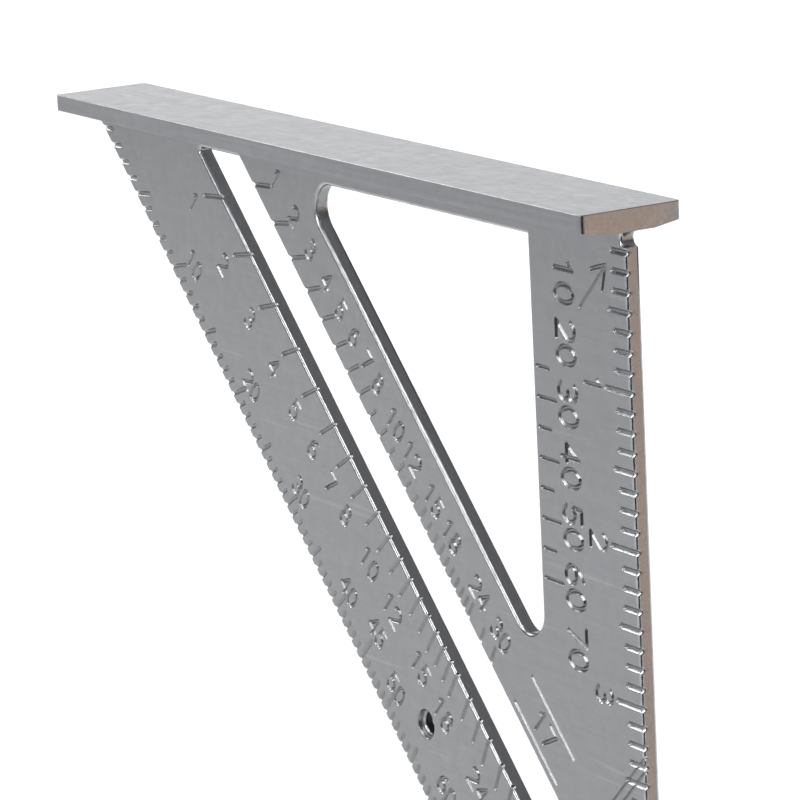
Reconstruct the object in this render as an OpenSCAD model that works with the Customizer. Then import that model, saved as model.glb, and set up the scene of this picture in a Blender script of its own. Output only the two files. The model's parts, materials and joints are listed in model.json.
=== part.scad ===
// Speed square: a cast aluminium layout triangle with a T-shaped fence.
// The plate stands in the XZ plane and its board side is y = 0.
// The origin is the pivot corner, where the fence's seat, the ruler edge and the board side meet.
// The fence runs along -X and the ruler leg runs down -Z.

/* [Overall size] */
// Length of the ruler leg below the fence, and of the fence itself
leg_l = 175; // [145:0.5:300]
// Thickness of the plate
plate_t = 2.8; // [2:0.1:6]

/* [Fence] */
// Height of the fence above its seat
fence_t = 3.7; // [2.5:0.1:8]
// How far each lip stands out from the plate's face
lip_w = 8; // [6:0.1:20]
// Width of the flat seat under each lip, next to the plate
seat_w = 3; // [2:0.1:6]
// How much the underside of a lip rises from the seat to the outer edge
lip_draft = 0.8; // [0:0.1:1.5]
// Radius of the lips' outer corners, seen from above
lip_corner_r = 1; // [0.5:0.1:3]

/* [Arms] */
// Width of the ruler arm
ruler_w = 27.7; // [22:0.1:36]
// Width of the degree arm, square across it
degree_w = 26; // [20:0.1:32]
// Width of the rafter bar between the slot and the window
bar_w = 13.2; // [10:0.1:16]
// Height of the rail between the fence and the window
rail_h = 3.9; // [3:0.1:8]

/* [Rafter slot] */
// Width of the slot, square across it
slot_w = 10.6; // [8:0.1:14]
// Metal left between the fence and the slot's upper end
slot_top = 2.5; // [1.5:0.1:2.9]
// Metal left between the ruler edge and the slot's lower end
slot_end = 16; // [12:0.1:20]

/* [Window] */
// Radius in the window's two sharp corners
window_r = 4.4; // [1:0.1:5]

/* [Pivot] */
// Radius of the notch at the pivot corner
notch_r = 1.2; // [0.8:0.1:2.5]
// Height of the block that carries the notch
pivot_h = 12.7; // [8:0.1:20]

/* [Tail] */
// Radius that blunts the lower tip
tip_r = 1.2; // [0.6:0.1:3]

/* [Hanging hole] */
// Diameter of the hole
hole_d = 3.4; // [2.5:0.1:4.4]
// Diameter of the countersink at the front face
sink_d = 5; // [4.6:0.1:8]
// Depth of the countersink
sink_h = 0.8; // [0.4:0.1:1]
// Distance from the degree edge to the hole
hole_in = 10.6; // [8:0.1:14]
// Distance from the middle of the degree arm to the hole, towards the tail
hole_down = 19.8; // [10:0.1:40]

/* [Hidden] */
// Metal colour of the casting
metal = "silver";
// A slanted edge is named by where its line meets the fence: every one runs at 45 degrees
slant = sqrt(2);
slot_outer = leg_l - degree_w * slant;
slot_inner = slot_outer - slot_w * slant;
window_slant = slot_inner - bar_w * slant;
// How far along its edge a 45 degree corner's rounding starts, for a radius of 1
lead = 1 / tan(22.5);
// Steps along an arc in an outline
arc_steps = 8;
// How far a cutting tool runs past the metal
past = 1;
// Distance along a slanted edge from the arm's middle, turned into distance along an axis
hole_x = -leg_l / 2 + (hole_in + hole_down) / slant;
hole_z = -leg_l / 2 + (hole_in - hole_down) / slant;

// Point on the slanted line that meets the fence at -c, at height z below it
function at_z(c, z) = [z - c, -z];
// Point on the same line, at distance x behind the ruler edge
function at_x(c, x) = [-x, x - c];
// Points of an arc about c, from angle a to angle b
function arc(c, r, a, b) = [for (i = [0:arc_steps])
    c + r * [cos(a + (b - a) * i / arc_steps), sin(a + (b - a) * i / arc_steps)]];

// A flat member of the plate, from its outline in X and Z
module member(outline) {
    rotate([90, 0, 0])
        linear_extrude(plate_t)
            polygon(outline);
}

// A round tool through the plate, along Y
module drill(x, z, d, depth) {
    translate([x, -plate_t - past, z])
        rotate([-90, 0, 0])
            cylinder(h = depth + past, d = d, $fn = 48);
}

// One lip of the fence, lying beside the plate along +Y
module lip() {
    intersection() {
        rotate([90, 0, -90])
            linear_extrude(leg_l)
                polygon([[0, 0], [-seat_w, 0], [-lip_w, lip_draft], [-lip_w, fence_t], [0, fence_t]]);
        translate([0, 0, -past])
            linear_extrude(fence_t + 2 * past)
                polygon(concat([[0, 0]],
                    arc([-lip_corner_r, lip_w - lip_corner_r], lip_corner_r, 0, 90),
                    arc([lip_corner_r - leg_l, lip_w - lip_corner_r], lip_corner_r, 90, 180),
                    [[-leg_l, 0]]));
    }
}

// Middle of the fence, the part that continues the plate upwards
module fence_spine() {
    color(metal)
        translate([-leg_l, -plate_t, 0])
            cube([leg_l, plate_t, fence_t]);
}

// Lip on the side where the scales are read
module fence_front_lip() {
    color(metal)
        translate([0, -plate_t, 0])
            mirror([0, 1, 0])
                lip();
}

// Lip that hooks over the board's edge
module fence_rear_lip() {
    color(metal)
        lip();
}

// Narrow rail that joins the arms just under the fence, notched by the top of the slot
module head_rail() {
    color(metal)
        member([at_z(slot_outer, 0), [-ruler_w, 0], [-ruler_w, -rail_h], at_z(slot_inner, rail_h),
            at_z(slot_inner, slot_top), at_z(slot_outer, slot_top)]);
}

// Foot of the degree arm under the fence's far end
module toe_web() {
    color(metal)
        member([at_z(leg_l, 0), at_z(slot_outer, 0), at_z(slot_outer, rail_h), at_z(leg_l, rail_h)]);
}

// Corner block with the pivot notch in the ruler edge
module pivot_block() {
    color(metal)
        difference() {
            member([[-ruler_w, 0], [0, 0], [0, -pivot_h], [-ruler_w, -pivot_h]]);
            drill(0, -notch_r, 2 * notch_r, plate_t + past);
        }
}

// Straight arm beside the window, whose outer edge is the ruler edge
module ruler_arm() {
    color(metal)
        member([[-ruler_w, -pivot_h], [0, -pivot_h], [0, ruler_w - window_slant],
            at_x(window_slant, ruler_w)]);
}

// Web where the rafter bar runs into the ruler arm
module elbow_web() {
    color(metal)
        member([at_x(window_slant, ruler_w), [0, ruler_w - window_slant],
            at_x(slot_inner, 0), at_x(slot_inner, ruler_w)]);
}

// Bridge that closes the slot's lower end, beside the ruler edge
module slot_bridge() {
    color(metal)
        member([at_x(slot_inner, slot_end), at_x(slot_inner, 0),
            at_x(slot_outer, 0), at_x(slot_outer, slot_end)]);
}

// Lower corner, where the degree arm meets the ruler edge
module tail_web() {
    tip = [-tip_r, tip_r * lead - leg_l];
    color(metal)
        member(concat([at_x(slot_outer, ruler_w), at_x(slot_outer, 0)],
            arc(tip, tip_r, 0, -135),
            [at_x(leg_l, ruler_w)]));
}

// Slanted bar between the slot and the window, with the window's rounded corners
module rafter_bar() {
    upper = at_z(window_slant, rail_h) + window_r * [lead, -1];
    lower = at_x(window_slant, ruler_w) + window_r * [-1, lead];
    color(metal)
        member(concat([at_z(slot_inner, rail_h)],
            arc(upper, window_r, 90, 225), arc(lower, window_r, 225, 360),
            [at_x(slot_inner, ruler_w)]));
}

// Wide slanted arm along the degree edge, with the hanging hole
module degree_arm() {
    color(metal)
        difference() {
            member([at_z(leg_l, rail_h), at_z(slot_outer, rail_h),
                at_x(slot_outer, ruler_w), at_x(leg_l, ruler_w)]);
            drill(hole_x, hole_z, hole_d, plate_t + past);
            drill(hole_x, hole_z, sink_d, sink_h);
        }
}

fence_spine();
fence_front_lip();
fence_rear_lip();
head_rail();
toe_web();
pivot_block();
ruler_arm();
elbow_web();
slot_bridge();
tail_web();
rafter_bar();
degree_arm();
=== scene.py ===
import json
import math

import bpy
import numpy as np
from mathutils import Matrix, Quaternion, Vector
from mathutils.geometry import delaunay_2d_cdt


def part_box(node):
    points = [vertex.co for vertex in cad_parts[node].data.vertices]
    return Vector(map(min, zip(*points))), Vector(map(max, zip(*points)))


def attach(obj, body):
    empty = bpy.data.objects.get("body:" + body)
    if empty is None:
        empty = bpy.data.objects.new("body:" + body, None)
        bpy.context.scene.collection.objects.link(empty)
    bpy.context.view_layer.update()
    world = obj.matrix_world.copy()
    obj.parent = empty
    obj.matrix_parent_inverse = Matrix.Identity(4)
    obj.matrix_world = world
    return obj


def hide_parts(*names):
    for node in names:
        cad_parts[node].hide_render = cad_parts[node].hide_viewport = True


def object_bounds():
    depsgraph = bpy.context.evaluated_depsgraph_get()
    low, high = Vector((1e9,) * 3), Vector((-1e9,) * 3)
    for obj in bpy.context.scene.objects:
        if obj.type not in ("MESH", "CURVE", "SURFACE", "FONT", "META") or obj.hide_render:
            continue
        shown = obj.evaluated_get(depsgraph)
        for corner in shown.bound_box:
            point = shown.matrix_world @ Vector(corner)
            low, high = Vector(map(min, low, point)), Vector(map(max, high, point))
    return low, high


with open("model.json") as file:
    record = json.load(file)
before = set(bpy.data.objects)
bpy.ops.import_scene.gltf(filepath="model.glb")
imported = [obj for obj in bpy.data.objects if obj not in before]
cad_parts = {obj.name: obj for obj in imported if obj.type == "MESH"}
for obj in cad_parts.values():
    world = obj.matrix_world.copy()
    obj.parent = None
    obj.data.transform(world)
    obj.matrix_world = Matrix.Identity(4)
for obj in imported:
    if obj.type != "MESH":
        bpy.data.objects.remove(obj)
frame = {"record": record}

cad_low, cad_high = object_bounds()

# Camera. A long lens stands to the right of the ruler edge and a little above the fence, and leans by
# about three degrees, so that the plate is seen at a slant and the fence's top just shows.
eye = Vector((0.5474, -0.3713, 0.1245))
aim = Vector((-0.0693, -0.0028, -0.0379))
lean = math.radians(-2.83)
camera_data = bpy.data.cameras.new("camera")
camera_data.sensor_width = 36
camera_data.lens = 197.1
camera_data.clip_start = 0.05
camera_data.clip_end = 60
camera = bpy.data.objects.new("camera", camera_data)
camera.location = eye
camera.rotation_mode = "QUATERNION"
camera.rotation_quaternion = (aim - eye).to_track_quat("-Z", "Y") @ Quaternion((0, 0, 1), lean)
bpy.context.scene.collection.objects.link(camera)
bpy.context.scene.camera = camera

# Fence spine. The middle of the T-shaped fence, which the mould carries straight up from the plate. Like
# the rest of the square it is grey aluminium, cast in one and tumbled, with a satin skin and edges rubbed
# bright. The lips on both sides are finished with it, so its top has no edge of its own but the two ends.
MM = 0.001
spine_low, spine_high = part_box("fence_spine")
lip_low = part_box("fence_front_lip")[0]
rear_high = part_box("fence_rear_lip")[1]
leg = -spine_low.x / MM
plate_t = -spine_low.y / MM
fence_t = spine_high.z / MM
front_y = lip_low.y / MM
rear_y = rear_high.y / MM
seat_w = 3.0
lip_draft = 0.8
fence_corner = 1.0
fence_edge = 0.14
seat_edge = 0.08
crease = 0.25
# How far the zones that cut out the fence's members run past its metal
past_end = 5
RUBBED = (0.62, 0.63, 0.64)
# Near black painted on the bore's wall as its shade
BORE_PAINTED_SHADE = (0.02, 0.018, 0.016)
# Share of the metal's tone left on groove floors, darkened for dust and as painted shade
DUST_AND_SHADE_TONE = 0.45
ROUGHNESS = 0.24


def new_group(name, inputs, outputs):
    """Empty shader group with the named sockets, and its two end nodes."""
    tree = bpy.data.node_groups.new(name, "ShaderNodeTree")
    for label, kind, value in inputs:
        socket = tree.interface.new_socket(label, in_out="INPUT", socket_type=kind)
        if value is not None:
            socket.default_value = value
    for label, kind in outputs:
        tree.interface.new_socket(label, in_out="OUTPUT", socket_type=kind)
    return tree, tree.nodes.new("NodeGroupInput"), tree.nodes.new("NodeGroupOutput")


def put(tree, kind, settings=(), **sockets):
    """Node with its settings, and with sockets given as values or as the outputs that feed them.

    A socket is named, with _ for each space, or numbered, as in _0.
    """
    node = tree.nodes.new(kind)
    for key, value in dict(settings).items():
        setattr(node, key, value)
    for key, value in sockets.items():
        name = key.replace("_", " ").strip()
        socket = node.inputs[int(name)] if name.isdigit() else node.inputs[name]
        if isinstance(value, bpy.types.NodeSocket):
            tree.links.new(value, socket)
        else:
            socket.default_value = value
    return node


def blend(tree, factor, low, high):
    """Colour between low and high, for a factor from 0 to 1."""
    return put(tree, "ShaderNodeMix", {"data_type": "RGBA"}, _0=factor, _6=low, _7=high).outputs[2]


def ramp(tree, value, low, high, out_low=0.0, out_high=1.0):
    """Value stretched from the range low..high to out_low..out_high, and held at its ends."""
    limits = {"From_Min": low, "From_Max": high, "To_Min": out_low, "To_Max": out_high}
    return put(tree, "ShaderNodeMapRange", {"clamp": True}, Value=value, **limits).outputs["Result"]


def math_node(tree, operation, first, second):
    """Sum, product or other operation on two values."""
    return put(tree, "ShaderNodeMath", {"operation": operation}, _0=first, _1=second).outputs[0]


def make_grain():
    """Fine blasted grain: a height for bump, and a mottle that shifts tone and roughness."""
    tree, ins, outs = new_group(
        "cast_grain",
        [("Vector", "NodeSocketVector", None), ("Scale", "NodeSocketFloat", 1.0)],
        [("Height", "NodeSocketFloat"), ("Mottle", "NodeSocketFloat"), ("Cloud", "NodeSocketFloat")],
    )
    place = put(
        tree, "ShaderNodeVectorMath", {"operation": "SCALE"},
        _0=ins.outputs["Vector"], Scale=ins.outputs["Scale"]).outputs[0]
    fine = put(tree, "ShaderNodeTexNoise", Vector=place, Scale=2600.0, Detail=3.0, Roughness=0.6)
    pits = put(tree, "ShaderNodeTexNoise", Vector=place, Scale=900.0, Detail=2.0, Roughness=0.5)
    mottle = put(tree, "ShaderNodeTexNoise", Vector=place, Scale=380.0, Detail=4.0, Roughness=0.6)
    cloud = put(tree, "ShaderNodeTexNoise", Vector=place, Scale=22.0, Detail=2.0, Roughness=0.5)
    height = math_node(tree, "ADD", fine.outputs[0], math_node(tree, "MULTIPLY", pits.outputs[0], 1.4))
    tree.links.new(height, outs.inputs["Height"])
    tree.links.new(ramp(tree, mottle.outputs[0], 0.3, 0.7), outs.inputs["Mottle"])
    tree.links.new(ramp(tree, cloud.outputs[0], 0.3, 0.7), outs.inputs["Cloud"])
    return tree


def make_wear():
    """Mask of bare bright metal: full on the sharp edges, broken up by a noise."""
    tree, ins, outs = new_group(
        "edge_wear",
        [("Vector", "NodeSocketVector", None), ("Edge", "NodeSocketFloat", 0.0),
         ("Amount", "NodeSocketFloat", 1.0)],
        [("Mask", "NodeSocketFloat")],
    )
    patchy = put(tree, "ShaderNodeTexNoise", Vector=ins.outputs["Vector"], Scale=420.0, Detail=3.0)
    broken = ramp(tree, patchy.outputs[0], 0.35, 0.6, 0.35, 1.0)
    strength = math_node(tree, "MULTIPLY", ins.outputs["Edge"], ins.outputs["Amount"])
    tree.links.new(math_node(tree, "MULTIPLY", strength, broken), outs.inputs["Mask"])
    return tree


def make_scratches():
    """Mask of fine handling scratches, long along the first axis of the vector."""
    tree, ins, outs = new_group(
        "handling_scratches",
        [("Vector", "NodeSocketVector", None), ("Density", "NodeSocketFloat", 0.5)],
        [("Mask", "NodeSocketFloat")],
    )
    total = None
    for turn, scale in ((0.35, 700.0), (-0.6, 900.0)):
        turned = put(tree, "ShaderNodeMapping", {"vector_type": "POINT"}, Vector=ins.outputs["Vector"])
        turned.inputs["Rotation"].default_value = (0, turn, turn)
        turned.inputs["Scale"].default_value = (0.03, 1.0, 1.0)
        streak = put(tree, "ShaderNodeTexNoise", Vector=turned.outputs[0], Scale=scale, Detail=1.0)
        mask = ramp(tree, streak.outputs[0], 0.70, 0.76)
        total = mask if total is None else math_node(tree, "MAXIMUM", total, mask)
    tree.links.new(math_node(tree, "MULTIPLY", total, ins.outputs["Density"]), outs.inputs["Mask"])
    return tree


cast_grain = make_grain()
edge_wear = make_wear()
handling_scratches = make_scratches()


def use_group(tree, group, **sockets):
    """One of the shared effects, placed in a material with its own values."""
    return put(tree, "ShaderNodeGroup", {"node_tree": group}, **sockets)


def make_metal(name, dull, bright, streaks, wear):
    """Satin cast aluminium. Streaks is how strongly a rubbed grain along the fence shows.

    The mesh gives how worn each place is, from 0 to 1, as its edge attribute. Its groove attribute is 0 on
    the faces, 1 on a groove's floor, which is darkened for dust and as painted shade, and 2 or more in a
    bore, whose wall is painted near black as shade.
    """
    material = bpy.data.materials.new(name)
    material.use_nodes = True
    tree = material.node_tree
    shader = tree.nodes["Principled BSDF"]
    place = put(tree, "ShaderNodeTexCoord").outputs["Object"]
    grain = use_group(tree, cast_grain, Vector=place, Scale=1.0)
    edge = put(tree, "ShaderNodeAttribute", {"attribute_name": "edge"}).outputs["Fac"]
    groove = put(tree, "ShaderNodeAttribute", {"attribute_name": "groove"}).outputs["Fac"]
    worn = use_group(tree, edge_wear, Vector=place, Edge=edge, Amount=wear).outputs["Mask"]
    scratched = use_group(tree, handling_scratches, Vector=place, Density=0.12).outputs["Mask"]
    rub = put(tree, "ShaderNodeMapping", {"vector_type": "POINT"}, Vector=place)
    rub.inputs["Scale"].default_value = (0.02, 1.0, 1.0)
    rubbing = put(tree, "ShaderNodeTexNoise", Vector=rub.outputs[0], Scale=1500.0, Detail=2.0)
    streak = ramp(tree, rubbing.outputs[0], 0.35, 0.65)

    tone = blend(tree, grain.outputs["Mottle"], (*dull, 1), (*bright, 1))
    cloudy = blend(tree, ramp(tree, grain.outputs["Cloud"], 0, 1, 0, 0.5), tone, (*dull, 1))
    streaked = blend(tree, ramp(tree, streak, 0, 1, 0, streaks), cloudy, (*RUBBED, 1))
    scored = blend(tree, scratched, streaked, (*RUBBED, 1))
    rubbed_edge = blend(tree, worn, scored, (*RUBBED, 1))
    # Groove floors are blended towards a darker tone, for dust and as painted shade
    dust_and_shade_colour = tuple(DUST_AND_SHADE_TONE * c for c in dull)
    with_dust_and_shade = blend(tree, ramp(tree, groove, 0.45, 1.0, 0, 0.25), rubbed_edge, (*dust_and_shade_colour, 1))
    # The bore's wall is blended to near black, as painted shade
    with_bore_shade = blend(tree, ramp(tree, groove, 1.1, 2.0, 0, 0.93), with_dust_and_shade, (*BORE_PAINTED_SHADE, 1))
    tree.links.new(with_bore_shade, shader.inputs["Base Color"])

    matt = ramp(tree, grain.outputs["Mottle"], 0, 1, ROUGHNESS + 0.015, ROUGHNESS - 0.015)
    polished = math_node(tree, "SUBTRACT", matt, math_node(tree, "MULTIPLY", worn, 0.12))
    settled = math_node(tree, "ADD", polished, math_node(tree, "MULTIPLY", groove, 0.08))
    tree.links.new(settled, shader.inputs["Roughness"])
    shader.inputs["Metallic"].default_value = 1.0

    bump = put(tree, "ShaderNodeBump", Height=grain.outputs["Height"], Strength=0.4, Distance=0.00006)
    tree.links.new(bump.outputs[0], shader.inputs["Normal"])
    return material


fence_metal = make_metal(
    "fence_metal", dull=(0.308, 0.313, 0.322), bright=(0.345, 0.35, 0.359), streaks=0.10, wear=0.25)


def unit(vectors):
    """The same directions, each of length 1."""
    lengths = np.linalg.norm(vectors, axis=-1, keepdims=True)
    return vectors / np.maximum(lengths, 1e-12)


def outline(corners, steps=10):
    """Closed line through corners given as (u, v, radius). A radius of 0 leaves a corner sharp."""
    made = []
    for i, (u, v, radius) in enumerate(corners):
        here = np.array((u, v), float)
        if not radius:
            made.append(here)
            continue
        back = unit(np.array(corners[i - 1][:2]) - here)
        ahead = unit(np.array(corners[(i + 1) % len(corners)][:2]) - here)
        half = math.acos(float(back @ ahead)) / 2
        centre = here + unit(back + ahead) * radius / math.sin(half)
        start = here + back * radius / math.tan(half) - centre
        stop = here + ahead * radius / math.tan(half) - centre
        first = math.atan2(start[1], start[0])
        turn = (math.atan2(stop[1], stop[0]) - first + math.pi) % (2 * math.pi) - math.pi
        for k in range(steps + 1):
            angle = first + turn * k / steps
            made.append(centre + radius * np.array((math.cos(angle), math.sin(angle))))
    return np.array(made)


def inset(line, distance):
    """Closed line moved to its left, which is the side where the metal lies."""
    along = unit(np.roll(line, -1, 0) - line)
    left = np.stack((-along[:, 1], along[:, 0]), 1)
    before = np.roll(left, 1, 0)
    return line + distance * (left + before) / (1 + (left * before).sum(1))[:, None]


def nearest(points, starts, ends):
    """For each point its distance to the nearest stretch of a line, and the way from there to it."""
    along = ends - starts
    length = np.maximum((along**2).sum(1), 1e-12)
    best = np.full(len(points), 1e9)
    way = np.zeros((len(points), 2))
    for start, step, size in zip(starts, along, length):
        share = np.clip((points - start) @ step / size, 0, 1)
        gap = points - start - share[:, None] * step
        distance = np.linalg.norm(gap, axis=1)
        touching = distance < 1e-6
        closer = (distance < best - 1e-9) & ~touching
        best[closer] = distance[closer]
        way[closer] = gap[closer] / distance[closer, None]
        fresh = touching & (best > 1e-6)
        way[fresh] = 0
        best[touching] = 0
        way[touching] += unit(np.array((-step[1], step[0])))
    return best, unit(way)


STEEPEST = 0.9998


def round_edges(points, lines, radius):
    """Depth of rounded edges below the flat face, their slope, and their wear, for the given points.

    An edge stops just short of upright, where the sine of its tilt is STEEPEST.
    """
    starts = np.concatenate(lines)
    ends = np.concatenate([np.roll(line, -1, 0) for line in lines])
    distance, inward = nearest(points, starts, ends)
    out = np.clip((radius - distance) / radius, 0, STEEPEST)
    fall = np.sqrt(1 - out**2)
    turned = np.arcsin(out) / np.arcsin(STEEPEST)
    return radius * (1 - fall), -inward * (out / fall)[:, None], 4 * turned * (1 - turned)


EDGE_TURNS = (0, 25, 50, 70)


def edge_rings(lines, radius):
    """Lines along which a rounded edge is divided."""
    depths = [radius * (1 - math.sin(math.radians(turn))) for turn in EDGE_TURNS]
    return [inset(line, depth) for line in lines for depth in depths]


def is_inside(points, lines):
    """True for points inside an odd number of the closed lines."""
    starts = np.concatenate(lines)
    ends = np.concatenate([np.roll(line, -1, 0) for line in lines])
    return is_between(points, starts, ends)


def is_between(points, starts, ends):
    """True for points that a ray leaves through an odd number of the given stretches."""
    odd = np.zeros(len(points), bool)
    for (u0, v0), (u1, v1) in zip(starts, ends):
        if v0 == v1:
            continue
        crosses = (points[:, 1] >= min(v0, v1)) & (points[:, 1] < max(v0, v1))
        odd ^= crosses & (points[:, 0] < u0 + (points[:, 1] - v0) * (u1 - u0) / (v1 - v0))
    return odd


def reaches(line, zone, margin=1.0):
    """True if the boxes of the two lines come within the margin of each other."""
    gap = np.maximum(line.min(0) - zone.max(0), zone.min(0) - line.max(0))
    return (gap < margin).all()


MERGE = 0.001


def divide(points, edges, loops, keep):
    """Triangles whose centres are kept, with every edge and closed loop as an edge of theirs.

    Points closer than MERGE, in millimetres, become one. The last list gives each point's sources.
    """
    points = [tuple(p) for p in points]
    edges = list(edges)
    for loop in loops:
        first = len(points)
        points.extend(tuple(p) for p in loop)
        edges.extend((first + i, first + (i + 1) % len(loop)) for i in range(len(loop)))
    found = delaunay_2d_cdt([Vector(p) for p in points], edges, [], 0, MERGE, True)
    flat = np.array([tuple(v) for v in found[0]])
    triangles = np.array(found[2])
    triangles = triangles[keep(flat[triangles].mean(1))]
    used, short = np.unique(triangles, return_inverse=True)
    return flat[used], short.reshape(-1, 3), [found[3][i] for i in used]


def rim(triangles):
    """Directed outer edges of a set of triangles, with the metal on their left."""
    sides = np.concatenate((triangles[:, (0, 1)], triangles[:, (1, 2)], triangles[:, (2, 0)]))
    back = {(b, a) for a, b in sides}
    return [(a, b) for a, b in sides if (a, b) not in back]


SMOOTH_TURN = 0.8


def wall_normals(flat, edges):
    """Outward direction at both ends of each outer edge.

    Walls are shaded as one where the cosine of the turn between them is over SMOOTH_TURN.
    """
    along = unit(np.array([flat[b] - flat[a] for a, b in edges]))
    outward = np.stack((along[:, 1], -along[:, 0]), 1)
    arriving = {b: i for i, (a, b) in enumerate(edges)}
    leaving = {a: i for i, (a, b) in enumerate(edges)}
    ends = []
    for i, (a, b) in enumerate(edges):
        pair = []
        for other in (arriving.get(a, i), leaving.get(b, i)):
            smooth = outward[i] @ outward[other] > SMOOTH_TURN
            pair.append(unit(outward[i] + outward[other]) if smooth else outward[i])
        ends.append(pair)
    return ends


def cast(name, zone, slab, material):
    """One closed member of the casting: the part of the slab inside the zone, shaded as one skin.

    A slab holds the outlines of its metal, the lines that divide its faces, the height and the relief of
    its top and its base, and how it is turned into place.
    """
    zone = np.array(zone, float)
    rings = [ring for ring in slab["rings"] if reaches(ring, zone)]
    marks = [ring for ring in slab["marks"] if reaches(ring, zone)]
    metal = slab["metal"]
    top, top_faces, _ = divide(
        [], [], [zone, *metal, *rings, *marks],
        lambda centres: is_inside(centres, [zone]) & is_inside(centres, metal))
    edges = rim(top_faces)
    corners = sorted({a for a, _ in edges})
    short = {a: i for i, a in enumerate(corners)}
    starts, ends = (top[list(side)] for side in zip(*edges))
    base, base_faces, sources = divide(
        top[corners], [(short[a], short[b]) for a, b in edges], rings,
        lambda centres: is_between(centres, starts, ends))
    below = {corners[s]: i for i, found in enumerate(sources) for s in found if s < len(corners)}

    top_depth, top_slope, top_edge, top_groove = slab["top_relief"](top)
    base_depth, base_slope, base_edge, base_groove = slab["base_relief"](base)
    solid = np.concatenate((
        np.column_stack((top, slab["top"] - top_depth)),
        np.column_stack((base, slab["base"] + base_depth)),
    ))
    count = len(top)
    up = unit(np.column_stack((top_slope, np.ones(count))))
    down = unit(np.column_stack((base_slope, -np.ones(len(base)))))
    faces = [tuple(f) for f in top_faces]
    normals = [up[i] for f in top_faces for i in f]
    faces += [tuple(count + i for i in reversed(f)) for f in base_faces]
    normals += [down[i] for f in base_faces for i in reversed(f)]
    for (a, b), (at_a, at_b) in zip(edges, wall_normals(top, edges)):
        faces.append((a, count + below[a], count + below[b], b))
        normals += [(*at_a, 0), (*at_a, 0), (*at_b, 0), (*at_b, 0)]

    turn = slab["turn"]
    mesh = bpy.data.meshes.new(name)
    mesh.from_pydata((solid @ turn * MM).tolist(), [], [[int(i) for i in f] for f in faces])
    mesh.shade_smooth()
    mesh.normals_split_custom_set((np.array(normals) @ turn).tolist())
    for label, values in (("edge", (top_edge, base_edge)), ("groove", (top_groove, base_groove))):
        layer = mesh.attributes.new(label, "FLOAT", "POINT")
        layer.data.foreach_set("value", np.concatenate(values).astype(np.float32))
    mesh.materials.append(material)
    piece = bpy.data.objects.new("cast_" + name, mesh)
    bpy.context.scene.collection.objects.link(piece)
    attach(piece, "root")
    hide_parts(name)


fence_outline = outline([
    (-leg, front_y, fence_corner), (0, front_y, fence_corner),
    (0, rear_y, fence_corner), (-leg, rear_y, fence_corner),
])
draft_slope = lip_draft / (rear_y - seat_w)


def fence_top(points):
    """The fence's outer face: flat, with its rounded edge."""
    depth, slope, edge = round_edges(points, [fence_outline], fence_edge)
    return depth, slope, edge, np.zeros(len(points))


def fence_underside(points):
    """Flat seat beside the plate, then a drafted underside out to the lip's rounded edge."""
    depth, slope, edge = round_edges(points, [fence_outline], seat_edge)
    beside = np.maximum(points[:, 1], -plate_t - points[:, 1])
    rise = np.clip((beside - seat_w + crease) / (2 * crease), 0, 1)
    outward = np.sign(points[:, 1] + plate_t / 2)
    slope = slope + np.column_stack((np.zeros(len(points)), outward * draft_slope * rise))
    return depth + np.maximum(beside - seat_w, 0) * draft_slope, slope, edge, np.zeros(len(points))


creases = []
for side in (-plate_t - seat_w, seat_w):
    for line_y in (side - crease, side, side + crease):
        creases.append(np.array([(-leg - past_end, line_y), (past_end, line_y)]))
fence_slab = {
    "metal": [fence_outline],
    "rings": edge_rings([fence_outline], fence_edge) + edge_rings([fence_outline], seat_edge) + creases,
    "marks": [],
    "top": fence_t, "base": 0.0,
    "top_relief": fence_top, "base_relief": fence_underside,
    "turn": np.eye(3),
}


def across_fence(y0, y1):
    """Zone that holds the whole length of the fence between two distances from the board side."""
    return [(-leg - past_end, y0), (past_end, y0), (past_end, y1), (-leg - past_end, y1)]


cast("fence_spine", across_fence(-plate_t, 0), fence_slab, fence_metal)

# Front lip. The half of the fence on the scale side, cast with the spine. Its underside has a flat seat
# next to the plate and is drafted beyond it, so that the casting leaves the mould. Its outer edges are
# tumbled round.
cast("fence_front_lip", across_fence(front_y - past_end, -plate_t), fence_slab, fence_metal)

# Rear lip. The half of the fence that hooks over a board's edge. It is cast with the spine and has the
# front lip's section turned round, so its flat seat lies on the board.
cast("fence_rear_lip", across_fence(0, rear_y + past_end), fence_slab, fence_metal)

# Plate. The flat triangle under the fence, with the long rafter slot, the window, the notch at the pivot
# and a stepped hole. All openings come from the mould, and their rims are tumbled round. Its members are
# cut from one slab below, after the marks.
ruler_w = -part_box("ruler_arm")[0].x / MM
pivot_h = -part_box("pivot_block")[0].z / MM
rail_h = -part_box("head_rail")[0].z / MM
bridge_low, bridge_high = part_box("slot_bridge")
slot_end = -bridge_low.x / MM
slot_outer = -bridge_low.z / MM
slot_inner = slot_end - bridge_high.z / MM
window_slant = ruler_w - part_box("elbow_web")[1].z / MM
slot_top = 2.5
slot_corner = 0.6
window_corner = 4.4
notch_r = 1.2
tip_r = 1.2
plate_edge = 0.65
# How far the plate's outline runs up past the fence's seat, and its zones past the metal
beyond = 6
plate_metal = make_metal(
    "plate_metal", dull=(0.3, 0.305, 0.312), bright=(0.336, 0.341, 0.347), streaks=0.04, wear=0.8)


def at_z(line, z):
    """Point on a 45 degree line that meets the fence at -line, at height z below it."""
    return (z - line, -z)


def at_x(line, x):
    """Point on the same line, at distance x behind the ruler edge."""
    return (-x, x - line)


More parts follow.
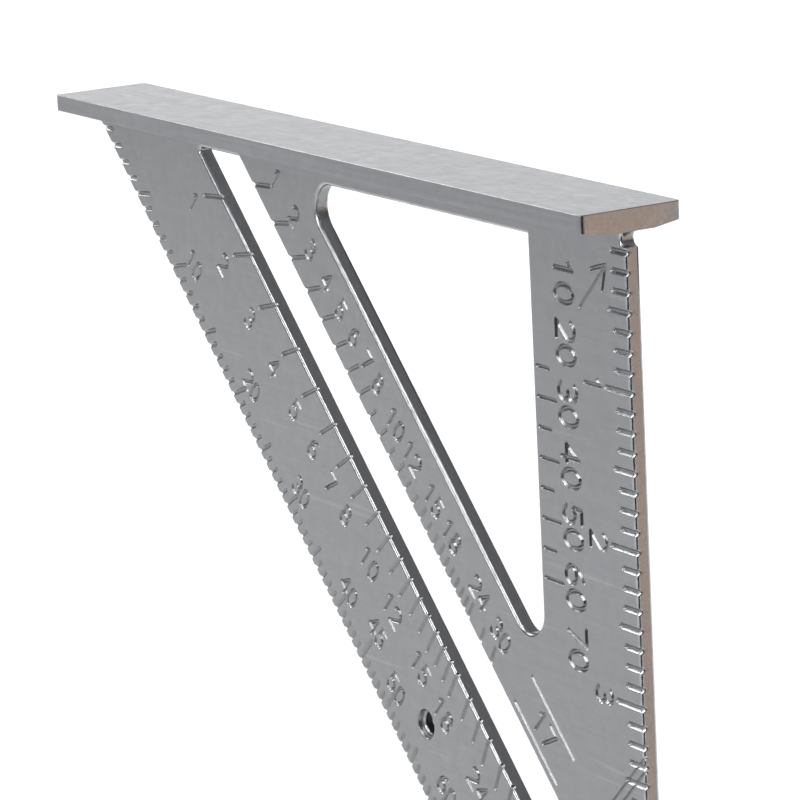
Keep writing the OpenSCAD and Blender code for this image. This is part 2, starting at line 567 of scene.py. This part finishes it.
notch = []
notch_steps = 12
for k in range(notch_steps + 1):
    angle = math.radians(270 - 180 * k / notch_steps)
    notch.append((notch_r * math.cos(angle), notch_r * math.sin(angle) - notch_r, 0))
plate_outline = outline([
    (*at_z(leg, -beyond), 0), (0, -leg, tip_r), *notch, (0, beyond, 0),
])
slot_outline = outline([
    (*at_z(slot_outer, slot_top), slot_corner), (*at_z(slot_inner, slot_top), slot_corner),
    (*at_x(slot_inner, slot_end), slot_corner), (*at_x(slot_outer, slot_end), slot_corner),
])
window_outline = outline([
    (*at_z(window_slant, rail_h), window_corner), (-ruler_w, -rail_h, 0),
    (*at_x(window_slant, ruler_w), window_corner),
], steps=28)
hang_hole = next(m for m in frame["record"]["mounts"] if m["name"] == "hang_hole")
hole_at = np.array((hang_hole["pos_m"][0], hang_hole["pos_m"][2])) / MM
hole_r = hang_hole["dims"]["r_mm"]


def ring_about(centre, radius, steps=32):
    """Circle with the metal on its left, which is outside it."""
    turns = -2 * math.pi * np.arange(steps) / steps
    return np.array(centre) + radius * np.column_stack((np.cos(turns), np.sin(turns)))


hole_outline = ring_about(hole_at, hole_r)
plate_metal_lines = [plate_outline, slot_outline, window_outline, hole_outline]

# Marks. Every tick and numeral is a groove left by a rib in the mould, with a rounded floor, steep walls
# and soft lips. Those that run out through an edge leave a nick in it.
marks = []
# Across a groove, from its middle out: share of its half width, share of its depth, and steepness
RIM_SHARES = (0.18, 0.36, 0.86, 1.0)
RIM_FALLS = (1.0, 0.88, 0.12, 0.0)
RIM_TILTS = (0.0, 1.5, 1.5, 0.0)
TICK_HALF, TICK_DEPTH = 0.6, 0.48
DIGIT_HALF, DIGIT_DEPTH = 0.44, 0.42


def mark(points, half, depth, closed=False):
    """Groove along a line, given by half its width and its depth."""
    marks.append((np.array(points, float), half, depth, closed))


def around(line, radius, steps=5):
    """Closed line that keeps a radius all round an open line."""
    along = unit(np.diff(line, axis=0))
    left = np.stack((-along[:, 1], along[:, 0]), 1)
    joints = unit(np.concatenate((left[:1], left[:-1] + left[1:], left[-1:])))
    stretch = 1 / np.concatenate(([1], (joints[1:-1] * left[1:]).sum(1), [1]))
    side = joints * (stretch * radius)[:, None]
    caps = []
    for end, normal in ((line[-1], left[-1]), (line[0], -left[0])):
        turns = math.atan2(-normal[1], -normal[0]) + math.pi * (np.arange(steps) + 0.5) / steps
        reach = radius / math.cos(math.pi / (2 * steps))
        caps.append(end + reach * np.column_stack((np.cos(turns), np.sin(turns))))
    return np.concatenate((line - side, caps[0], (line + side)[::-1], caps[1]))


def bow(cu, cv, ru, rv, first, last, steps=9):
    """Curved stroke: part of an ellipse between two angles in degrees."""
    turns = np.radians(np.linspace(first, last, steps + 1))
    return np.column_stack((cu + ru * np.cos(turns), cv + rv * np.sin(turns)))


def stroke(*points):
    """Straight stroke through the given points."""
    return np.array(points, float)


def loop(cu, cv, ru, rv, steps=18):
    """Closed stroke round an ellipse."""
    return bow(cu, cv, ru, rv, 0, 360 - 360 / steps, steps - 1)


# Each numeral is drawn in a cell one unit high, as open strokes and closed loops.
STROKES = {
    "0": ([], [loop(0.28, 0.5, 0.28, 0.5)]),
    "1": ([stroke((0.1, 0.78), (0.3, 1)), stroke((0.3, 1), (0.3, 0))], []),
    "2": ([bow(0.28, 0.72, 0.28, 0.28, 165, -35),
           stroke((0.51, 0.56), (0, 0)), stroke((0, 0), (0.56, 0))], []),
    "3": ([bow(0.26, 0.75, 0.25, 0.25, 150, -90), bow(0.26, 0.26, 0.29, 0.26, 90, -150)], []),
    "4": ([stroke((0.42, 1), (0, 0.3)), stroke((0, 0.3), (0.58, 0.3)),
           stroke((0.42, 1), (0.42, 0))], []),
    "5": ([stroke((0.52, 1), (0.08, 1)), stroke((0.08, 1), (0.06, 0.56)),
           bow(0.27, 0.32, 0.28, 0.32, 135, -150)], []),
    "6": ([bow(0.56, 0.29, 0.56, 0.71, 180, 105)], [loop(0.28, 0.29, 0.28, 0.29)]),
    "7": ([stroke((0, 1), (0.56, 1)), stroke((0.56, 1), (0.18, 0))], []),
    "8": ([], [loop(0.28, 0.76, 0.23, 0.24), loop(0.28, 0.26, 0.28, 0.26)]),
    "9": ([bow(0, 0.71, 0.56, 0.71, 0, -75)], [loop(0.28, 0.71, 0.28, 0.29)]),
}
ADVANCE = 0.78
CELL_W = 0.56


def numeral(number, centre, height, reading, half=DIGIT_HALF, depth=DIGIT_DEPTH):
    """Whole number centred on a point, read along the given direction."""
    along = unit(np.array(reading, float))
    upward = np.array((-along[1], along[0]))
    digits = str(number)
    width = (len(digits) - 1) * ADVANCE + CELL_W
    for place, digit in enumerate(digits):
        start = np.array((place * ADVANCE - width / 2, -0.5))
        for closed, shapes in enumerate(STROKES[digit]):
            for shape in shapes:
                drawn = (shape + start) * height
                across = np.outer(drawn[:, 0], along)
                up_cell = np.outer(drawn[:, 1], upward)
                mark(centre + across + up_cell, half, depth, bool(closed))


# Inch scale. The ruler edge is divided in eighths of an inch from the fence's seat, with a longer tick at
# each half and whole inch, and a numeral at each whole inch, turned to be read with the edge up.
EIGHTH = 25.4 / 8
DOWN = (0, -1)
run_out = 0.9
inch_tick = 7.4
half_inch_tick = 5.7
eighth_tick = 4.4
inch_numeral_x = -10.5
inch_numeral_h = 4.6
for k in range(1, int(leg / EIGHTH)):
    reach = inch_tick if k % 8 == 0 else half_inch_tick if k % 4 == 0 else eighth_tick
    mark([(run_out, -k * EIGHTH), (TICK_HALF - reach, -k * EIGHTH)], TICK_HALF, TICK_DEPTH)
    if k % 8 == 0:
        numeral(k // 8, np.array((inch_numeral_x, -k * EIGHTH)), inch_numeral_h, DOWN)

# Degree scale. The long edge is divided in degrees about the pivot, and every tick points at the pivot.
# Those at the fives and tens are longer. The tens and 45 have numerals, which are read along the edge.
SLANT = unit(np.array((1.0, -1.0)))
INTO_ARM = unit(np.array((1.0, 1.0)))
# How far in from the edge the numeral of each labelled degree stands
degree_marks = {10: 7.6, 20: 7.4, 30: 6.8, 40: 6.8, 45: 9.3, 50: 6.8, 60: 7.2, 70: 6.8, 80: 7.2}
degree_numeral_h = 3.8
mitre_tick = 7.0
ten_tick = 5.6
five_tick = 5.0
one_tick = 3.3
degree_half = TICK_HALF - 0.05
degree_depth = TICK_DEPTH - 0.08


def ray_point(line, rise, depth):
    """Where the ray from the pivot with the given rise meets a 45 degree line, moved depth across it."""
    moved = line - depth * math.sqrt(2)
    return np.array((-moved / (1 + rise), -moved * rise / (1 + rise)))


for degree in range(1, 90):
    rise = math.tan(math.radians(degree))
    depth = one_tick
    if degree == 45:
        depth = mitre_tick
    elif degree % 10 == 0:
        depth = ten_tick
    elif degree % 5 == 0:
        depth = five_tick
    tick = [ray_point(leg, rise, -run_out), ray_point(leg, rise, depth - TICK_HALF)]
    mark(tick, degree_half, degree_depth)
    if degree in degree_marks:
        numeral(degree, ray_point(leg, rise, degree_marks[degree]), degree_numeral_h, SLANT)

# Common rafter scale. The slot's outer edge carries the rise per foot of run, n in 12, as ticks that
# point away from the pivot. The steeper ones crowd, so only some of them have numerals.
FOOT = 12
STEEP_LABELS = (10, 12, 15, 18, 24, 30)
rafter_half = TICK_HALF - 0.1
rafter_depth = TICK_DEPTH - 0.1
common_numeral_in = -9.3
common_numeral_h = 4.1
common_labelled_tick = 5.7
common_plain_tick = 5.2
common_digit_slide = 1.8
common_two_digit_slide = 0.3
for rise in list(range(1, 19)) + [20, 22, 24, 27, 30]:
    labelled = rise <= 8 or rise in STEEP_LABELS
    depth = common_labelled_tick if labelled else common_plain_tick
    slope = rise / FOOT
    tick = [ray_point(slot_outer, slope, run_out), ray_point(slot_outer, slope, TICK_HALF - depth)]
    mark(tick, rafter_half, rafter_depth)
    if labelled:
        slide = common_digit_slide if rise < 10 else common_two_digit_slide
        place = ray_point(slot_outer, slope, common_numeral_in) + slide * SLANT
        numeral(rise, place, common_numeral_h, SLANT)

# Hip and valley scale. The slot's inner edge carries the same rises over the longer diagonal run, which
# is 12 times the square root of 2.
hip_numeral_h = 3.9
hip_digit_in = 7.4
hip_two_digit_in = 6.7
hip_low_tick = 5.2
hip_steep_tick = 4.2
hip_plain_tick = 3.6
# The first numeral stands up the bar from its tick, and each one after it slides further down the bar
hip_slide_step = 0.33
hip_slide_start = -2.0
hip_slide_most = 0.4
for rise in list(range(1, 25)) + [27, 30]:
    labelled = rise <= 8 or rise in STEEP_LABELS
    depth = hip_low_tick if rise <= 8 else hip_steep_tick if labelled else hip_plain_tick
    slope = rise / (FOOT * math.sqrt(2))
    tick = [ray_point(slot_inner, slope, -run_out), ray_point(slot_inner, slope, depth - TICK_HALF)]
    mark(tick, rafter_half, rafter_depth)
    if labelled:
        slide = min(hip_slide_step * (rise - 1) + hip_slide_start, hip_slide_most)
        numeral_in = hip_digit_in if rise < 10 else hip_two_digit_in
        place = ray_point(slot_inner, slope, numeral_in) + slide * SLANT
        numeral(rise, place, hip_numeral_h, SLANT)

# Millimetre numbers. A plain column of distances from the seat stands on the ruler arm, with index ticks
# near the window, and a double line crosses from the ruler edge to the slot.
column_x = -17.7
column_numeral_h = 5.2
index_x = -26.4
ten_mm_index = 5.2
five_mm_index = 3.4
for k in range(1, 8):
    numeral(10 * k, np.array((column_x, -10.0 * k)), column_numeral_h, DOWN, half=0.5, depth=0.5)
for k in range(5, 13):
    reach = ten_mm_index if k % 2 == 0 else five_mm_index
    mark([(index_x, -5.0 * k), (index_x + reach, -5.0 * k)], half=0.4, depth=0.45)
double_line_at = np.array((0.6, -84.7))
double_line_length = 26.5
for shift in (-0.8, 0.8):
    start = double_line_at + shift * SLANT
    mark([start, start - double_line_length * INTO_ARM], half=0.32, depth=0.3)

# Arrow and key number. A plain arrow points at the pivot, and a 17, the inches of diagonal run to each
# foot, marks the hip and valley scale between two bars.
arrow_tip = np.array((-5.6, -5.8))
arrow_length = 11
barb_length = 4.4
barb_turns = (15, 75)
arrow_half = 0.42
arrow_depth = 0.38
mark([arrow_tip - arrow_length * INTO_ARM, arrow_tip], arrow_half, arrow_depth)
for turn in barb_turns:
    barb = barb_length * np.array((math.cos(math.radians(turn)), math.sin(math.radians(turn))))
    mark([arrow_tip - barb, arrow_tip], arrow_half, arrow_depth)
key_at = np.array((-28.8, -86.3))
key_h = 4.4
bar_gap = 3.9
bar_half_length = 8
numeral(17, key_at, key_h, SLANT)
for side in (-1, 1):
    bar = key_at + side * bar_gap * INTO_ARM
    mark([bar - bar_half_length * SLANT, bar + bar_half_length * SLANT], DIGIT_HALF, DIGIT_DEPTH)


def mark_relief(points):
    """Depth and slope that the grooves add at the given points."""
    depth = np.zeros(len(points))
    slope = np.zeros((len(points), 2))
    for line, half, deep, closed in marks:
        low = line.min(0) - half
        high = line.max(0) + half
        near = np.flatnonzero(((points > low) & (points < high)).all(1))
        if not len(near):
            continue
        starts = line if closed else line[:-1]
        ends = np.roll(line, -1, 0) if closed else line[1:]
        distance, way = nearest(points[near], starts, ends)
        share = distance / half
        found = np.interp(share, RIM_SHARES, RIM_FALLS) * deep
        tilt = np.interp(share, RIM_SHARES, RIM_TILTS) * deep / half
        deeper = found > depth[near] + 1e-9
        depth[near[deeper]] = found[deeper]
        slope[near[deeper]] = -(way * tilt[:, None])[deeper]
    return depth, slope


mark_rings = []
for line, half, _, closed in marks:
    for share in RIM_SHARES:
        if closed:
            mark_rings.append(inset(line, share * half))
            mark_rings.append(inset(line, -share * half))
        else:
            mark_rings.append(around(line, share * half))

# Stepped hole. A shallow round seat surrounds the hanging hole on the scale side. Both come from the
# mould, and the bore's wall is painted near black as shade.
sink_r = 2.5
sink_depth = 0.8
# Groove level that marks the bore's wall, which the metal paints near black as shade
BORE_SHADE_LEVEL = 2.2
# Steps of the seat's rim: distance past its radius, share of its depth, and slope
SINK_STEPS = ((-0.15, 1.0, 0.0), (0.0, 0.9, 2.5), (0.08, 0.14, 2.0), (0.3, 0.0, 0.0))
sink_rings = [ring_about(hole_at, sink_r + step[0]) for step in SINK_STEPS]


def in_bore(points):
    """True for points on the bore's rim."""
    return np.linalg.norm(points - hole_at, axis=1) < hole_r + 0.1


def scale_side(points):
    """Rounded rims, grooves and the stepped seat, each on top of the others."""
    depth, slope, edge = round_edges(points, plate_metal_lines, plate_edge)
    cut, cut_slope = mark_relief(points)
    way = points - hole_at
    distance = np.linalg.norm(way, axis=1)
    steps = np.array(SINK_STEPS).T
    seat = np.interp(distance - sink_r, steps[0], steps[1]) * sink_depth
    tilt = np.interp(distance - sink_r, steps[0], steps[2])
    slope = slope + cut_slope - unit(way) * tilt[:, None]
    # Groove floors and the seat are marked for dust and painted shade, and the bore for painted black
    # shade
    dust_and_shade_level = np.maximum(cut / TICK_DEPTH, seat / sink_depth)
    return depth + cut + seat, slope, edge, np.where(in_bore(points), BORE_SHADE_LEVEL, dust_and_shade_level)


def board_side(points):
    """The back is plain, with the same rounded rims."""
    depth, slope, edge = round_edges(points, plate_metal_lines, plate_edge)
    # The bore's wall on the back is marked for the same painted black shade
    return depth, slope, edge, np.where(in_bore(points), BORE_SHADE_LEVEL, 0)


plate_slab = {
    "metal": plate_metal_lines,
    "rings": edge_rings(plate_metal_lines, plate_edge),
    "marks": mark_rings + sink_rings,
    "top": plate_t, "base": 0.0,
    "top_relief": scale_side, "base_relief": board_side,
    "turn": np.array(((1, 0, 0), (0, 0, 1), (0, -1, 0)), float),
}

# Head rail. The thin rail under the fence that ties the two arms together over the slot and the window.
# The slot's upper end notches it. It is cast with the plate, as are all the members that follow.
cast("head_rail", [
    at_z(slot_outer, 0), at_z(slot_outer, rail_h), (-ruler_w, -rail_h), (-ruler_w, 0),
], plate_slab, plate_metal)

# Toe web. The foot of the degree arm, which runs out to a point under the fence's far end. The first
# degrees are cast into its slanted edge.
cast("toe_web", [
    at_z(leg + beyond, 0), at_z(leg + beyond, rail_h), at_z(slot_outer, rail_h), at_z(slot_outer, 0),
], plate_slab, plate_metal)

# Pivot block. The corner under the fence's near end, with the notch that a pencil or a nail turns in.
# The notch is left by a round core in the mould.
cast("pivot_block", [
    (-ruler_w, 0), (-ruler_w, -pivot_h), (beyond, -pivot_h), (beyond, 0),
], plate_slab, plate_metal)

# Ruler arm. The straight arm between the window and the ruler edge, cast with the first inches of the
# scale along its edge and the column of numbers beside the window.
cast("ruler_arm", [
    (-ruler_w, -pivot_h), at_x(window_slant, ruler_w), (beyond, ruler_w - window_slant),
    (beyond, -pivot_h),
], plate_slab, plate_metal)

# Elbow web. The broad web where the rafter bar runs into the ruler arm. Being cast in one with both, it
# has no joint of its own.
cast("elbow_web", [
    at_x(window_slant, ruler_w), at_x(slot_inner, ruler_w), at_x(slot_inner, -beyond),
    (beyond, ruler_w - window_slant),
], plate_slab, plate_metal)

# Slot bridge. The short bridge that closes the slot's lower end beside the ruler edge, and carries the
# edge on from the elbow to the tail.
cast("slot_bridge", [
    at_x(slot_inner, ruler_w), at_x(slot_outer, ruler_w), at_x(slot_outer, -beyond),
    at_x(slot_inner, -beyond),
], plate_slab, plate_metal)

# Tail web. The lower corner, where the degree arm meets the ruler edge. The mould blunts its point, so
# that it doesn't cut the hand.
cast("tail_web", [
    at_x(slot_outer, ruler_w), at_x(leg + beyond, ruler_w), at_x(leg + beyond, -beyond),
    at_x(slot_outer, -beyond),
], plate_slab, plate_metal)

# Rafter bar. The slanted bar between the slot and the window, with the hip and valley scale along it. It
# is cast with fillets in the window's two sharp corners.
# The bar's zone ends on a slanted line inside the window, past the fillets
window_middle = 0.8 * window_slant
cast("rafter_bar", [
    at_z(slot_inner, rail_h), at_x(slot_inner, ruler_w), at_x(window_middle, ruler_w),
    at_z(window_middle, rail_h),
], plate_slab, plate_metal)

# Degree arm. The wide slanted arm along the long edge, with the stepped hole. The degree scale is cast
# into its outer edge and the common rafter scale into its inner one.
cast("degree_arm", [
    at_z(slot_outer, rail_h), at_z(leg + beyond, rail_h), at_x(leg + beyond, ruler_w),
    at_x(slot_outer, ruler_w),
], plate_slab, plate_metal)

# Floor. A wide pale sheet, smooth and matt. It lies half a millimetre under the tail, on which the square
# stands.
half_floor = 12.0
floor_gap = 0.0005
floor_z = cad_low.z - floor_gap
floor_mesh = bpy.data.meshes.new("floor")
floor_mesh.from_pydata(
    [(-half_floor, -half_floor, floor_z), (half_floor, -half_floor, floor_z),
     (half_floor, half_floor, floor_z), (-half_floor, half_floor, floor_z)], [], [(0, 1, 2, 3)])
floor = bpy.data.objects.new("floor", floor_mesh)
floor_paint = bpy.data.materials.new("floor_paint")
floor_paint.use_nodes = True
floor_shader = floor_paint.node_tree.nodes["Principled BSDF"]
floor_shader.inputs["Base Color"].default_value = (0.95, 0.95, 0.95, 1)
floor_shader.inputs["Roughness"].default_value = 0.8
floor_mesh.materials.append(floor_paint)
bpy.context.scene.collection.objects.link(floor)


# Light. Large soft panels stand behind, left, right and in front, and light the floor and the square.
# Cards that only the metal mirrors shape its reflections: two bright ones and the ceiling for the edges
# and grooves, a brown one for the fence's near end and the ruler edge, and a dark one for that edge's rim.
def face(thing, place, toward):
    """Put a lamp or a card at a place and turn it to face a point."""
    thing.location = place
    thing.rotation_mode = "QUATERNION"
    thing.rotation_quaternion = (Vector(toward) - Vector(place)).to_track_quat("-Z", "Y")
    bpy.context.scene.collection.objects.link(thing)


def panel(name, place, toward, size, watts, tint=(1, 1, 1), mirrored=True, spreads=True):
    """Soft panel. Mirrored says if the metal reflects it, and spreads if it lights matt surfaces."""
    data = bpy.data.lights.new(name, "AREA")
    data.shape = "RECTANGLE"
    data.size, data.size_y = size
    data.energy = watts
    data.color = tint
    lamp = bpy.data.objects.new(name, data)
    lamp.visible_glossy = mirrored
    lamp.visible_diffuse = spreads
    face(lamp, place, toward)


middle = (cad_low + cad_high) / 2
panel("back_panel", (-0.8, 0.85, 1.3), (-0.75, 0.45, floor_z), (1.3, 0.9), watts=27, mirrored=False)
panel("side_panel", (-1.5, -0.6, 0.85), middle, (1.0, 0.6), watts=3)
panel("left_panel", (-2.3, 1.3, 0.45), middle, (1.9, 0.8), watts=4.7)
panel("front_panel", (0.0, -1.05, 0.85), middle, (0.9, 0.8), watts=3, mirrored=False)
panel("front_card", (0.0, -1.05, 0.85), middle, (1.2, 1.5), watts=28, spreads=False)
panel("side_card", (-1.5, -0.27, 0.88), middle, (0.6, 0.45), watts=4.5, spreads=False)
panel("right_panel", (0.9, 0.7, 0.8), (0.4, 0.25, floor_z), (0.8, 0.6), watts=4.5, mirrored=False)
panel("ceiling_card", (0, 0, 2.5), middle, (5, 5), watts=9, tint=(1.0, 0.92, 0.85), spreads=False)


def flag(name, place, toward, size, glow):
    """Card with an even glow that only the metal mirrors, where it would mirror the bright floor."""
    half_w, half_h = size[0] / 2, size[1] / 2
    mesh = bpy.data.meshes.new(name)
    mesh.from_pydata(
        [(-half_w, -half_h, 0), (half_w, -half_h, 0), (half_w, half_h, 0), (-half_w, half_h, 0)],
        [], [(0, 1, 2, 3)])
    paint = bpy.data.materials.new(name + "_paint")
    paint.use_nodes = True
    shader = paint.node_tree.nodes["Principled BSDF"]
    shader.inputs["Base Color"].default_value = (0, 0, 0, 1)
    shader.inputs["Specular IOR Level"].default_value = 0
    shader.inputs["Emission Color"].default_value = (*glow, 1)
    shader.inputs["Emission Strength"].default_value = 1
    mesh.materials.append(paint)
    card = bpy.data.objects.new(name, mesh)
    card.visible_camera = False
    card.visible_diffuse = False
    card.visible_shadow = False
    face(card, place, toward)


flag("brown_flag", (0.153, 0.08, -0.08), (0, 0, -0.08), (0.084, 0.2), glow=(0.98, 0.74, 0.59))
flag("dark_flag", (0.123, -0.086, -0.085), (0, 0, -0.085), (0.12, 0.2), glow=(0.05, 0.05, 0.055))

world = bpy.data.worlds.new("studio")
world.use_nodes = True
sky = world.node_tree.nodes["Background"]
sky.inputs["Color"].default_value = (0.9, 0.93, 1.0, 1)
sky.inputs["Strength"].default_value = 0.22
bpy.context.scene.world = world
bpy.context.scene.view_settings.view_transform = "Standard"
